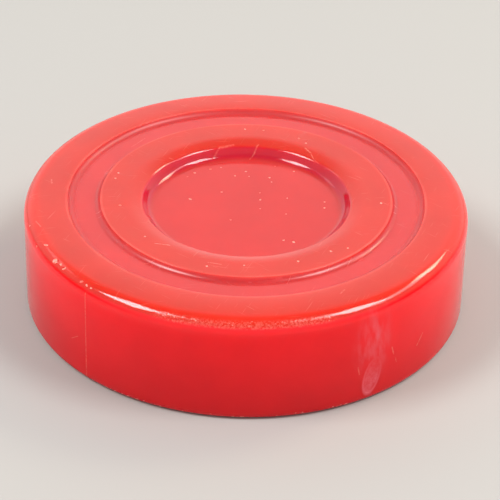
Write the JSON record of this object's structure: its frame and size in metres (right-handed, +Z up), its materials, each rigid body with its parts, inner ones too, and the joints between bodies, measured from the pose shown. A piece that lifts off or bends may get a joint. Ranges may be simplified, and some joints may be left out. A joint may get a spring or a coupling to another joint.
{
  "type": "dealer button",
  "caption": "Round turned resin disc with a ring groove and a shallow central recess in its upper face, rounded rim and flat underside.",
  "frame": {"origin": "centre of the flat underside, which rests on the table", "axes": "+Z up along the disc's axis, out of the patterned face; X and Y across the disc, equivalent by symmetry"},
  "size_m": [0.0508, 0.0508, 0.0127],
  "materials": {
    "cast_resin": "polished"
  },
  "bodies": {
    "root": {"button_body": "cast_resin"}
  },
  "joints": []
}
